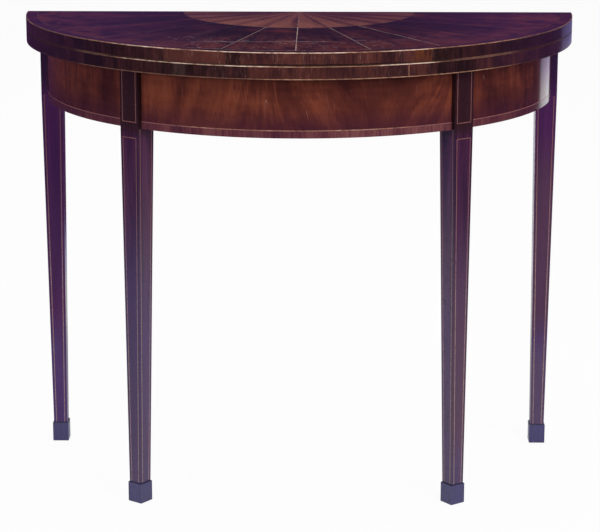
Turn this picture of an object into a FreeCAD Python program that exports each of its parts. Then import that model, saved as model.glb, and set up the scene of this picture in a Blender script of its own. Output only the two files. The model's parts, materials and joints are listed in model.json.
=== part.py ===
import FreeCAD, Part
import math
import os

Vector = FreeCAD.Vector

# Half-round fold-over table. Millimetres, +Z up, +Y to the back, floor at z = 0.

# Top
table_height = 750.0
leaf_radius = 457.0
leaf_thickness = 20.3
leaf_gap = 0.6
face_veneer = 1.2
edge_veneer = 1.2
edge_string = 1.3
inlay_line = 1.3
crossband_width = 18.0
patera_radius = 193.0
patera_eye = 10.0
wedge_count = 12
flute_count = 12
border_width = 45.0
baize_thickness = 0.9
baize_clearance = 0.3
glue_line = 0.05

# Apron
apron_height = 95.0
leaf_overhang = 32.5
apron_veneer = 1.5
apron_core = 26.0
course_count = 4
joints_in_odd_courses = (-58.0, -32.0, -11.0, 11.0, 32.0, 58.0)
joints_in_even_courses = (-67.0, -46.0, -22.0, 0.0, 22.0, 46.0, 67.0)
band_height = 11.0
band_string = 1.4
veneer_shrinkage = 0.5

# Front legs
front_leg_bearing = 37.0
front_leg_top = 36.5
front_leg_foot = 23.6
front_leg_proud = 7.0
front_tine = 12.0
bridle_tongue = 13.0
front_foot_width = 27.0

# Rear legs and gates
rear_leg_projection = 9.1
rear_leg_top = 35.5
rear_leg_foot = 23.2
rear_leg_setback = 2.5
rear_foot_width = 27.0
gate_side_clearance = 1.5
gate_top_clearance = 0.8
fly_rail_thickness = 23.0
fly_tenon_length = 20.0
fly_tenon_thickness = 8.0
fly_tenon_shoulder = 15.0
gate_pivot_x = 125.0
knuckle_count = 5
knuckle_clearance = 0.5
knuckle_pin_radius = 3.0
running_fit = 0.05

# Feet
foot_height = 34.5
foot_top_chamfer = 2.0
foot_bottom_chamfer = 0.8
peg_radius = 5.0
peg_length = 16.0

# Inlaid strings on the legs
leg_string_width = 1.1
leg_string_depth = 1.0
leg_string_inset = 4.5
stile_panel_rise = 10.0
leg_panel_drop = 14.0

# Inside of the frame
back_rail_thickness = 22.0
back_rail_lap = 12.0
brace_width = 60.0
brace_thickness = 22.0
brace_neck = 36.0
brace_tail = 46.0
brace_lap = 11.0
brace_fit = 0.3
block_width = 18.0
block_height = 22.0
block_chamfer = 6.0
block_arc = 7.0
block_bearings = (-72.0, -55.0, -20.0, 20.0, 55.0, 72.0)

# Screws
wood_screw_head = 3.6
wood_screw_shank = 1.9
wood_screw_bite = 12.0
rail_screw_x = 70.0
rail_screw_rise = 26.0
screw_slot = 0.7

# Leaf hinges
hinge_length = 34.0
hinge_end_margin = 5.0
hinge_plate = 1.6
hinge_leaf_height = 15.0
hinge_barrel = 2.8
hinge_pin = 1.4
hinge_knuckles = 5
hinge_clearance = 0.4
hinge_screw_head = 2.4
hinge_screw_shank = 1.2
hinge_screw_length = 12.0
hinge_screw_drop = 9.0
hinge_screw_pitch = 11.0

# Levels and places that follow from the sizes above
top_depth = leaf_radius + hinge_barrel
axis_y = top_depth / 2 - hinge_barrel
axis_z = table_height - leaf_thickness - leaf_gap / 2
chord_y = axis_y - leaf_gap / 2
upper_bottom = table_height - leaf_thickness
lower_top = upper_bottom - leaf_gap
lower_bottom = lower_top - leaf_thickness
apron_bottom = lower_bottom - apron_height
gate_top = lower_bottom - gate_top_clearance
apron_radius = leaf_radius - leaf_overhang
core_outer = apron_radius - apron_veneer - glue_line
core_inner = core_outer - apron_core
leg_face_radius = apron_radius + front_leg_proud
rear_leg_x = apron_radius + rear_leg_projection - rear_leg_top / 2
rear_leg_back = axis_y - rear_leg_setback
rear_leg_front = rear_leg_back - rear_leg_top
apron_end = rear_leg_front - gate_side_clearance
fly_front = rear_leg_front
fly_back = fly_front + fly_rail_thickness
pivot_y = (fly_front + fly_back) / 2
knuckle_radius = fly_rail_thickness / 2
shoulder = knuckle_radius + knuckle_clearance
back_rail_front = apron_end - back_rail_thickness
end_depth = axis_y - apron_end
back_rail_half = math.sqrt(core_inner ** 2 - end_depth ** 2) + back_rail_lap
rim = leaf_radius - edge_string - glue_line
crossband_inner = leaf_radius - crossband_width
inner_string_outer = crossband_inner - glue_line
inner_string_inner = inner_string_outer - inlay_line
wedge_outer = inner_string_inner - glue_line
patera_string_outer = patera_radius + inlay_line
wedge_inner = patera_string_outer + glue_line
baize_radius = leaf_radius - border_width - baize_clearance
hinge_outer_x = leaf_radius - hinge_end_margin
hinge_inner_x = hinge_outer_x - hinge_length
centre = Vector(0, axis_y, 0)
up = Vector(0, 0, 1)


def upright(shape):
    """Turn a solid's skin outwards."""
    if shape.Volume < 0:
        shape.reverse()
    return shape


def box(x0, x1, y0, y1, z0, z1):
    return Part.makeBox(x1 - x0, y1 - y0, z1 - z0, Vector(x0, y0, z0))


def prism(outline, z0, z1):
    points = [Vector(x, y, z0) for x, y in outline]
    face = Part.Face(Part.makePolygon(points + points[:1]))
    return upright(face.extrude(Vector(0, 0, z1 - z0)))


def turned(section, start=-90.0, end=90.0):
    """Sweep a section of (radius, height) points round the table's centre; bearing 0 is the front."""
    angle = math.radians(start)
    out = Vector(math.sin(angle), -math.cos(angle), 0)
    points = [centre + out * radius + up * height for radius, height in section]
    face = Part.Face(Part.makePolygon(points + points[:1]))
    return upright(face.revolve(centre, up, end - start))


def ring(inner, outer, z0, z1, start=-90.0, end=90.0):
    return turned([(inner, z0), (outer, z0), (outer, z1), (inner, z1)], start, end)


def at_bearing(shape, bearing):
    shape.rotate(centre, up, bearing)
    return shape


def mirrored(shape):
    return upright(shape.mirror(Vector(0, 0, 0), Vector(1, 0, 0)))


def cut_all(shape, tools):
    return shape.cut(tools) if tools else shape


def trim_to_chord(shape):
    """Leaf pieces stop at the straight back edge."""
    reach = 2 * leaf_radius
    return shape.cut(box(-reach, reach, chord_y, axis_y + reach, 0, 2 * table_height))


def leaf_ring(inner, outer, z0, z1, start=-90.0, end=90.0):
    return trim_to_chord(ring(inner, outer, z0, z1, start, end))


def screw(head, shank, length, base, direction, slack=0.0, slotted=True):
    """Countersunk screw whose head lies flush at base and whose shank runs along direction."""
    head_depth = head - shank
    cone = Part.makeCone(head + slack, shank + slack, head_depth, base, direction)
    neck = base + direction * head_depth
    shaft = Part.makeCylinder(shank + slack, length - head_depth + slack, neck, direction)
    body = cone.fuse(shaft).removeSplitter()
    if slotted:
        across = box(-head, head, -screw_slot / 2, screw_slot / 2, 0, screw_slot)
        across.Placement = FreeCAD.Placement(base, FreeCAD.Rotation(up, direction))
        body = body.cut(across)
    return body


# Tapered legs
class Leg:
    """A square leg: straight from its top to the knee, then tapering to the foot."""

    def __init__(self, knee_section, foot_section, top, knee):
        self.knee_section = knee_section
        self.foot_section = foot_section
        self.top = top
        self.knee = knee

    def section(self, height):
        share = min(1.0, max(0.0, (self.knee - height) / (self.knee - foot_height)))
        return [a + (b - a) * share for a, b in zip(self.knee_section, self.foot_section)]

    def foot_centre(self):
        x0, x1, y0, y1 = self.foot_section
        return (x0 + x1) / 2, (y0 + y1) / 2

    def outline(self, height):
        x0, x1, y0, y1 = self.section(height)
        corners = [(x0, y0), (x1, y0), (x1, y1), (x0, y1)]
        points = [Vector(x, y, height) for x, y in corners]
        return Part.makePolygon(points + points[:1])

    def blank(self):
        x0, x1, y0, y1 = self.knee_section
        taper = Part.makeLoft([self.outline(foot_height), self.outline(self.knee)], True, True)
        block = box(x0, x1, y0, y1, self.knee, self.top)
        x, y = self.foot_centre()
        peg = Part.makeCylinder(peg_radius, peg_length, Vector(x, y, foot_height - peg_length))
        return taper.fuse([block, peg]).removeSplitter()

    def foot(self, width):
        x, y = self.foot_centre()
        half = width / 2
        block = box(x - half, x + half, y - half, y + half, 0, foot_height)
        rim_edges = [e for e in block.Edges if all(abs(v.Z - foot_height) < 1e-6 for v in e.Vertexes)]
        block = block.makeChamfer(foot_top_chamfer, rim_edges)
        sole_edges = [e for e in block.Edges if all(abs(v.Z) < 1e-6 for v in e.Vertexes)]
        block = block.makeChamfer(foot_bottom_chamfer, sole_edges)
        depth = peg_length + running_fit
        socket_foot = Vector(x, y, foot_height - depth)
        return block.cut(Part.makeCylinder(peg_radius + running_fit, depth, socket_foot))

    def strip(self, side, low, high, near, far):
        """A string let into one side; near and far give its two edges from the side's width."""
        wires = []
        for height in (low, high):
            x0, x1, y0, y1 = self.section(height)
            if side == "front":
                a, b = x0 + near(x1 - x0), x0 + far(x1 - x0)
                corners = [(a, y0), (b, y0), (b, y0 + leg_string_depth), (a, y0 + leg_string_depth)]
            else:
                a, b = y0 + near(y1 - y0), y0 + far(y1 - y0)
                face, inner = (x0, x0 + leg_string_depth) if side == "left" else (x1, x1 - leg_string_depth)
                corners = [(face, a), (face, b), (inner, b), (inner, a)]
            points = [Vector(x, y, height) for x, y in corners]
            wires.append(Part.makePolygon(points + points[:1]))
        return upright(Part.makeLoft(wires, True, True))

    def pair(self, side, low, high):
        half = leg_string_width / 2
        inset = leg_string_inset
        left = self.strip(side, low, high, lambda w: inset - half, lambda w: inset + half)
        right = self.strip(side, low, high, lambda w: w - inset - half, lambda w: w - inset + half)
        return [left, right]

    def crossline(self, side, low):
        edge = leg_string_inset + leg_string_width / 2
        return self.strip(side, low, low + leg_string_width, lambda w: edge, lambda w: w - edge)


def front_leg_shape():
    """Front leg standing at bearing 0. Its outer face is plumb and the other three taper."""
    half = front_leg_top / 2
    face = axis_y - leg_face_radius
    foot_half = front_leg_foot / 2
    return Leg((-half, half, face, face + front_leg_top),
               (-foot_half, foot_half, face, face + front_leg_foot), lower_bottom, apron_bottom)


def bridle_slot():
    face = axis_y - leg_face_radius
    half = front_leg_top / 2
    return box(-half, half, face + front_tine, face + front_tine + bridle_tongue, apron_bottom, lower_bottom)


def leg_head(side_gap=0.0):
    """The part of a front leg that stands within the apron."""
    face = axis_y - leg_face_radius
    half = front_leg_top / 2 + side_gap
    return box(-half, half, face, face + front_leg_top, apron_bottom, lower_bottom)


def front_leg_parts(bearing):
    leg = front_leg_shape()
    panel_low = apron_bottom + stile_panel_rise
    panel_high = apron_bottom - leg_panel_drop
    strings = leg.pair("front", foot_height, panel_high) + leg.pair("front", panel_low, lower_bottom)
    strings.append(leg.crossline("front", panel_high - leg_string_width))
    strings.append(leg.crossline("front", panel_low))
    strings += leg.pair("left", foot_height, apron_bottom) + leg.pair("right", foot_height, apron_bottom)
    wood = leg.blank().cut([bridle_slot()] + strings)
    foot = leg.foot(front_foot_width)
    return (at_bearing(wood, bearing), at_bearing(foot, bearing), [at_bearing(s, bearing) for s in strings])


def rear_leg_parts():
    """Right rear leg with its mortise for the fly rail."""
    half = rear_leg_top / 2
    foot_half = rear_leg_foot / 2
    y = (rear_leg_front + rear_leg_back) / 2
    leg = Leg((rear_leg_x - half, rear_leg_x + half, rear_leg_front, rear_leg_back),
              (rear_leg_x - foot_half, rear_leg_x + foot_half, y - foot_half, y + foot_half),
              gate_top, apron_bottom)
    strings = []
    for side in ("front", "left", "right"):
        strings += leg.pair(side, foot_height, apron_bottom)
    wood = leg.blank().cut([fly_tenon()] + strings)
    return wood, leg.foot(rear_foot_width), strings


# Apron
def apron_cutters():
    """What the brick core makes room for: the bridled legs, the back rail and the brace."""
    cutters = []
    for sign in (-1, 1):
        cutters.append(at_bearing(leg_head().cut(bridle_slot()), sign * front_leg_bearing))
    cutters.append(back_rail_blank())
    cutters.append(medial_brace(brace_fit))
    return cutters


def behind_apron():
    reach = 2 * leaf_radius
    return box(-reach, reach, apron_end, apron_end + reach, 0, table_height)


def apron_courses():
    """Courses of glued bricks with broken joints."""
    height = apron_height / course_count
    cutters = apron_cutters() + [behind_apron()]
    courses = []
    for course in range(course_count):
        joints = joints_in_even_courses if course % 2 else joints_in_odd_courses
        bearings = (-90.0,) + joints + (90.0,)
        low = apron_bottom + course * height
        bricks = []
        for start, end in zip(bearings, bearings[1:]):
            brick = ring(core_inner, core_outer, low, low + height, start, end)
            bricks += brick.cut(cutters).Solids
        courses.append(bricks)
    return courses


def apron_skin(z0, z1):
    """One level of the apron's outer skin, split by the front legs: left, centre, right."""
    skin = ring(apron_radius - apron_veneer, apron_radius, z0, z1)
    heads = [at_bearing(leg_head(veneer_shrinkage), sign * front_leg_bearing) for sign in (-1, 1)]
    pieces = skin.cut(heads + [behind_apron()]).Solids
    return sorted(pieces, key=lambda piece: piece.CenterOfMass.x)


# Frame behind the apron
def back_rail_blank():
    return box(-back_rail_half, back_rail_half, back_rail_front, apron_end, apron_bottom, lower_bottom)


def medial_brace(room=0.0):
    """Flat brace with a dovetail at each end, let in flush under the leaf."""
    front_shoulder = axis_y - core_inner + 2 * brace_fit
    front_end = front_shoulder - brace_lap - room
    back_shoulder = back_rail_front - brace_fit
    back_end = back_shoulder + brace_lap + room
    neck = brace_neck / 2 + room
    tail = brace_tail / 2 + room
    half = brace_width / 2
    right = [(tail, front_end), (neck, front_shoulder), (half, front_shoulder),
             (half, back_shoulder), (neck, back_shoulder), (tail, back_end)]
    left = [(-x, y) for x, y in reversed(right)]
    return prism(right + left, lower_bottom - brace_thickness, lower_bottom)


def glue_block(bearing):
    wall = core_inner - glue_line
    low = lower_bottom - block_height
    section = [(wall - block_width, lower_bottom), (wall, lower_bottom), (wall, low),
               (wall - block_width + block_chamfer, low), (wall - block_width, low + block_chamfer)]
    return turned(section, bearing - block_arc / 2, bearing + block_arc / 2)


def top_screw_places():
    """Heads under the glue blocks and under the brace."""
    places = []
    radius = core_inner - (block_width - block_chamfer) / 2
    for bearing in block_bearings:
        angle = math.radians(bearing)
        spot = centre + Vector(math.sin(angle), -math.cos(angle), 0) * radius
        places.append((spot + up * (lower_bottom - block_height), block_height))
    for share in (1 / 3, 2 / 3):
        y = back_rail_front - share * (back_rail_front - axis_y + core_inner)
        places.append((Vector(0, y, lower_bottom - brace_thickness), brace_thickness))
    return places


def top_screws(slack=0.0, slotted=True):
    return [screw(wood_screw_head, wood_screw_shank, depth + wood_screw_bite, spot, up, slack, slotted)
            for spot, depth in top_screw_places()]


def rail_screws(slack=0.0, slotted=True):
    forward = Vector(0, -1, 0)
    length = fly_back - apron_end + wood_screw_bite
    spots = [Vector(sign * rail_screw_x, fly_back, level) for sign in (-1, 1)
             for level in (apron_bottom + rail_screw_rise, gate_top - rail_screw_rise)]
    return [screw(wood_screw_head, wood_screw_shank, length, spot, forward, slack, slotted) for spot in spots]


# Knuckle joints of the gates
def knuckle_levels(first):
    """Every second knuckle, counted from first; the gate's own are a little shorter."""
    height = (gate_top - apron_bottom) / knuckle_count
    trim = knuckle_clearance if first else 0.0
    return [(apron_bottom + i * height + trim, apron_bottom + (i + 1) * height - trim)
            for i in range(first, knuckle_count, 2)]


def knuckle(inward, low, high):
    """One knuckle on the right pivot, reaching to the shoulder on one side."""
    eye = Part.makeCylinder(knuckle_radius, high - low, Vector(gate_pivot_x, pivot_y, low))
    reach = sorted((gate_pivot_x, gate_pivot_x + (-shoulder if inward else shoulder)))
    return eye.fuse(box(reach[0], reach[1], fly_front, fly_back, low, high))


def knuckle_bore():
    return Part.makeCylinder(knuckle_pin_radius + running_fit, table_height, Vector(gate_pivot_x, pivot_y, 0))


def fixed_hinge_rail():
    half = gate_pivot_x - shoulder
    rail = box(-half, half, apron_end, fly_back, apron_bottom, gate_top)
    right = [knuckle(True, low, high) for low, high in knuckle_levels(0)]
    rail = rail.fuse(right + [mirrored(k) for k in right]).removeSplitter()
    bores = [knuckle_bore(), mirrored(knuckle_bore())]
    return rail.cut(bores + rail_screws(running_fit, False))


def fly_tenon():
    inner_face = rear_leg_x - rear_leg_top / 2
    half = fly_tenon_thickness / 2
    return box(inner_face, inner_face + fly_tenon_length, pivot_y - half, pivot_y + half,
               apron_bottom + fly_tenon_shoulder, gate_top - fly_tenon_shoulder)


def fly_rail():
    """Right fly rail: knuckles at the pivot, tenon at the leg."""
    inner_face = rear_leg_x - rear_leg_top / 2
    rail = box(gate_pivot_x + shoulder, inner_face, fly_front, fly_back, apron_bottom, gate_top)
    fingers = [knuckle(False, low, high) for low, high in knuckle_levels(1)]
    return rail.fuse(fingers + [fly_tenon()]).removeSplitter().cut(knuckle_bore())


def knuckle_pin():
    pin_foot = Vector(gate_pivot_x, pivot_y, apron_bottom)
    return Part.makeCylinder(knuckle_pin_radius, gate_top - apron_bottom, pin_foot)


# Leaf hinges
def hinge_segments(first):
    length = hinge_length / hinge_knuckles
    return [hinge_inner_x + i * length for i in range(first, hinge_knuckles, 2)], length


def barrel(radius, start, length):
    return Part.makeCylinder(radius, length, Vector(start, axis_y, axis_z), Vector(1, 0, 0))


def hinge_plate_blank(upper):
    z0, z1 = (axis_z, axis_z + hinge_leaf_height) if upper else (axis_z - hinge_leaf_height, axis_z)
    return box(hinge_inner_x, hinge_outer_x, chord_y - hinge_plate, chord_y, z0, z1)


def hinge_leaf(upper):
    """Right hinge leaf: plate let into the back edge, with its own knuckles round the pin."""
    own, length = hinge_segments(1 if upper else 0)
    other, length = hinge_segments(0 if upper else 1)
    slack = hinge_clearance / 2
    room = [barrel(hinge_barrel + slack, start - slack, length + 2 * slack) for start in other]
    plate = hinge_plate_blank(upper).cut(room)
    knuckles = [barrel(hinge_barrel, start, length) for start in own]
    leaf = plate.fuse([k.cut(room) for k in knuckles]).removeSplitter()
    bore = barrel(hinge_pin + running_fit, hinge_inner_x - hinge_length, 3 * hinge_length)
    return leaf.cut([bore] + hinge_screws(upper, running_fit, False))


def hinge_screws(upper, slack=0.0, slotted=True):
    level = axis_z + hinge_screw_drop if upper else axis_z - hinge_screw_drop
    middle = (hinge_inner_x + hinge_outer_x) / 2
    return [screw(hinge_screw_head, hinge_screw_shank, hinge_screw_length,
                  Vector(middle + i * hinge_screw_pitch, chord_y, level), Vector(0, -1, 0), slack, slotted)
            for i in (-1, 0, 1)]


def leaf_hinge_pin():
    return barrel(hinge_pin, hinge_inner_x, hinge_length)


def hinge_room(upper):
    """Mortises and screw holes in a leaf's back edge, both ends."""
    slack = hinge_clearance
    well = barrel(hinge_barrel + slack, hinge_inner_x - slack, hinge_length + 2 * slack)
    right = [well, hinge_plate_blank(upper)] + hinge_screws(upper, running_fit, False)
    return right + [mirrored(shape) for shape in right]


# Leaves
def leaf_core(low, high, rebate_low, rebate_high):
    """Half-round board, stepped at its rim for the two edge strings."""
    rim_radius = leaf_radius - edge_veneer - glue_line
    section = [(0, low), (rim, low), (rim, rebate_low), (rim_radius, rebate_low),
               (rim_radius, rebate_high), (rim, rebate_high), (rim, high), (0, high)]
    return trim_to_chord(turned(section))


def lower_leaf_core():
    core = leaf_core(lower_bottom, lower_top - face_veneer,
                     lower_bottom + edge_string, lower_top - edge_string)
    return core.cut(hinge_room(False) + top_screws(running_fit, False))


def upper_leaf_core():
    core = leaf_core(upper_bottom + face_veneer, table_height - face_veneer,
                     upper_bottom + edge_string, table_height - edge_string)
    return core.cut(hinge_room(True))


def edge_strings(low, high):
    inner = leaf_radius - edge_string
    return [leaf_ring(inner, leaf_radius, z, z + edge_string) for z in (low, high - edge_string)]


def edge_skin(low, high):
    return leaf_ring(leaf_radius - edge_veneer, leaf_radius, low + edge_string, high - edge_string)


def border(low, upper):
    """Crossbanded border of a playing face."""
    band = leaf_ring(leaf_radius - border_width, rim, low, low + face_veneer)
    return band.cut(hinge_room(upper))


def baize(low):
    return leaf_ring(0, baize_radius, low, low + baize_thickness)


def radial_lines():
    """Inlaid lines along the seams of the radial veneers."""
    low = table_height - face_veneer
    zone = ring(wedge_inner, wedge_outer, low, table_height)
    step = 180.0 / wedge_count
    half = inlay_line / 2
    lines = []
    for seam in range(1, wedge_count):
        bar = box(-half, half, axis_y - leaf_radius, axis_y, low, table_height)
        lines.append(at_bearing(bar, -90.0 + seam * step).common(zone))
    return lines


def radial_wedges():
    low = table_height - face_veneer
    step = 180.0 / wedge_count
    lines = radial_lines()
    wedges = []
    for i in range(wedge_count):
        start = -90.0 + i * step
        wedge = leaf_ring(wedge_inner, wedge_outer, low, table_height, start, start + step)
        wedges.append(wedge.cut(lines[max(i - 1, 0):i + 1]))
    return wedges


def fan_flutes():
    """Half-round fan: tapering flutes round a small eye."""
    low = table_height - face_veneer
    step = 180.0 / flute_count
    flutes = [leaf_ring(0, patera_eye - glue_line, low, table_height)]
    for i in range(flute_count):
        start = -90.0 + i * step
        flute = leaf_ring(patera_eye, patera_radius - glue_line, low, table_height, start, start + step)
        flutes.append(flute)
    return flutes


def both(shape):
    return [mirrored(shape), shape]


def build():
    nodes = {}
    for number, bricks in enumerate(apron_courses(), start=1):
        nodes["apron_course_%d" % number] = bricks
    panels = apron_skin(apron_bottom + band_height + band_string, lower_bottom)
    for name, panel in zip(("left", "centre", "right"), panels):
        nodes["apron_veneer_" + name] = [panel]
    nodes["apron_strings"] = apron_skin(apron_bottom + band_height, apron_bottom + band_height + band_string)
    nodes["apron_banding"] = apron_skin(apron_bottom, apron_bottom + band_height)
    for name, sign in (("left", -1), ("right", 1)):
        leg, foot, strings = front_leg_parts(sign * front_leg_bearing)
        nodes["front_leg_" + name] = [leg]
        nodes["front_foot_" + name] = [foot]
        nodes["front_leg_%s_strings" % name] = strings
    nodes["back_rail"] = [back_rail_blank().cut([medial_brace(brace_fit)] + rail_screws(running_fit, False))]
    nodes["medial_brace"] = [medial_brace().cut(top_screws(running_fit, False))]
    nodes["glue_blocks"] = [cut_all(glue_block(b), top_screws(running_fit, False)) for b in block_bearings]
    nodes["top_screws"] = top_screws()
    nodes["fixed_hinge_rail"] = [fixed_hinge_rail()]
    nodes["rail_screws"] = rail_screws()
    nodes["knuckle_pins"] = both(knuckle_pin())
    rear_leg, rear_foot, rear_strings = rear_leg_parts()
    gate = {"%s_fly_rail": [fly_rail()], "rear_leg_%s": [rear_leg],
            "rear_foot_%s": [rear_foot], "rear_leg_%s_strings": rear_strings}
    for pattern, shapes in gate.items():
        nodes[pattern % "left"] = [mirrored(shape) for shape in shapes]
        nodes[pattern % "right"] = shapes
    nodes["lower_leaf_core"] = [lower_leaf_core()]
    nodes["lower_leaf_edge_veneer"] = [edge_skin(lower_bottom, lower_top)]
    nodes["lower_leaf_edge_strings"] = edge_strings(lower_bottom, lower_top)
    nodes["lower_leaf_border"] = [border(lower_top - face_veneer, False)]
    nodes["lower_baize"] = [baize(lower_top - face_veneer)]
    nodes["upper_leaf_core"] = [upper_leaf_core()]
    nodes["upper_leaf_edge_veneer"] = [edge_skin(upper_bottom, table_height)]
    nodes["upper_leaf_edge_strings"] = edge_strings(upper_bottom, table_height)
    nodes["upper_leaf_border"] = [border(upper_bottom, True)]
    nodes["upper_baize"] = [baize(upper_bottom + face_veneer - baize_thickness)]
    veneer_low = table_height - face_veneer
    nodes["upper_leaf_crossbanding"] = [leaf_ring(crossband_inner, rim, veneer_low, table_height)]
    inner_string = leaf_ring(inner_string_inner, inner_string_outer, veneer_low, table_height)
    nodes["upper_leaf_inner_string"] = [inner_string]
    nodes["radial_veneers"] = radial_wedges()
    nodes["radial_strings"] = radial_lines()
    nodes["fan_patera"] = fan_flutes()
    nodes["patera_string"] = [leaf_ring(patera_radius, patera_string_outer, veneer_low, table_height)]
    nodes["lower_hinge_plates"] = both(hinge_leaf(False))
    nodes["upper_hinge_plates"] = both(hinge_leaf(True))
    nodes["leaf_hinge_pins"] = both(leaf_hinge_pin())
    nodes["lower_hinge_screws"] = [s for screw_shape in hinge_screws(False) for s in both(screw_shape)]
    nodes["upper_hinge_screws"] = [s for screw_shape in hinge_screws(True) for s in both(screw_shape)]
    return nodes


def main():
    os.makedirs("parts", exist_ok=True)
    for name, shapes in build().items():
        solids = [solid for shape in shapes for solid in shape.Solids]
        Part.makeCompound(solids).exportStep("parts/%s.step" % name)


main()
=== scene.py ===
"""Looks of a half-round card table in figured mahogany, with a fold-over top and two gate legs.

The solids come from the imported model. Each operator below gives a group of them its finish, lays the two
cloths, or sets up the studio, and main() calls the operators in order.
"""

import json
import math
from functools import partial

import bmesh
import bpy
from bpy.props import FloatProperty, FloatVectorProperty, PointerProperty
from mathutils import Matrix, Vector


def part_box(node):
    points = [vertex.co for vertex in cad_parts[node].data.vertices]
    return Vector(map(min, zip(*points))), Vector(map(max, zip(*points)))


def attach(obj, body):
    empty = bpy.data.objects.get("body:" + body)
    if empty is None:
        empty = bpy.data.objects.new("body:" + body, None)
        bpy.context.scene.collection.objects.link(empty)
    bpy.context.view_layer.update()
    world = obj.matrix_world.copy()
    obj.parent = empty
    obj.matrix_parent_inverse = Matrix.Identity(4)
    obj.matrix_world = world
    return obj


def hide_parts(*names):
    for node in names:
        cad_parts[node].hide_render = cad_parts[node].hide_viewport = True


bl_info = {
    "name": "Half-round card table",
    "version": (1, 0, 0),
    "blender": (4, 5, 0),
    "location": "View3D > Sidebar > Card table",
    "description": "Finishes, cloths and studio for a half-round card table",
    "category": "Object",
}

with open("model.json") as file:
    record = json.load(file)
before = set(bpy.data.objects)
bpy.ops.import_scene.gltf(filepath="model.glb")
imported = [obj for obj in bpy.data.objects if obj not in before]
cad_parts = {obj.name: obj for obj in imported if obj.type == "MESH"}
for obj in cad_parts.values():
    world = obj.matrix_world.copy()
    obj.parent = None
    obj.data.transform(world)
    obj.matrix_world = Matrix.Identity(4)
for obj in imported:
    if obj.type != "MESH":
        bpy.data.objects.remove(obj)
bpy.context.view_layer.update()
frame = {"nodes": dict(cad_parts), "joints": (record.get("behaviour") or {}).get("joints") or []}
SLOTS = {}
for node_name, node in frame["nodes"].items():
    SLOTS.setdefault(node.material_slots[0].material.name, []).append(node_name)
LEAF_HINGE = next(joint for joint in frame["joints"] if joint["name"] == "leaf_hinge")
CENTRE_Y = LEAF_HINGE["pos_m"][1]
LEAF_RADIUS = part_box("upper_leaf_edge_veneer")[1].x
TOP_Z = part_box("radial_veneers")[1].z
APRON_RADIUS = CENTRE_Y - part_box("apron_veneer_centre")[0].y
APRON_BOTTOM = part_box("apron_banding")[0].z
FAN_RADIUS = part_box("fan_patera")[1].x
FOOT_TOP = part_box("front_foot_left")[1].z
LEAF_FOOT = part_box("lower_leaf_edge_strings")[0].z
LEAF_JOINT = TOP_Z - 0.0205
RIGHT_FOOT = sum(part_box("front_foot_right"), Vector()) / 2
LEG_BEARING = math.atan2(RIGHT_FOOT.x, CENTRE_Y - RIGHT_FOOT.y)
FOOT_DEPTH = 0.0118
LEG_FACE = math.hypot(RIGHT_FOOT.x, CENTRE_Y - RIGHT_FOOT.y) + FOOT_DEPTH


def shade(code):
    """The linear colour of a six-figure hex code."""
    parts = (int(code[place : place + 2], 16) / 255 for place in (0, 2, 4))
    return tuple(part / 12.92 if part <= 0.04045 else ((part + 0.055) / 1.055) ** 2.4 for part in parts)


def colour(name, code, description):
    """A colour that a user can change."""
    return FloatVectorProperty(
        name=name, description=description, default=shade(code), subtype="COLOR", min=0, max=1
    )


def measure(subtype, unit, name, value, description, **limits):
    """A length, a power or an angle that a user can change, in metres, watts or radians."""
    return FloatProperty(
        name=name, description=description, default=value, subtype=subtype, unit=unit, **limits
    )


length = partial(measure, "DISTANCE", "LENGTH", min=0)
power = partial(measure, "POWER", "POWER", min=0)
angle = partial(measure, "ANGLE", "ROTATION")


class PatternSizes(bpy.types.PropertyGroup):
    """Sizes of the woods' figure, the front legs' taper and the cloths' nap."""

    wedge_angle: angle("Wedge angle", math.radians(15), "Angle of each radiating veneer on the top")
    flute_angle: angle("Flute angle", math.radians(15), "Angle of each flute of the fan")
    edge_piece: length("Edge piece", 0.074, "Length of each piece of veneer on the edges of the leaves")
    flame_width: length("Flame width", 0.046, "Width of the broad streaks in the apron's veneer")
    stripe_width: length("Stripe width", 0.011, "Width of the stripes in the radiating veneers")
    pore_width: length("Pore width", 0.0005, "Width of the wood's pores")
    pore_length: length("Pore length", 0.009, "Length of the wood's pores")
    leg_head: length("Leg head", 0.0365, "Width of a front leg under the apron")
    leg_foot: length("Leg foot", 0.0236, "Width of a front leg above its foot")
    nap: length("Nap", 0.0009, "Size of the tufts in the cloth's nap")


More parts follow.
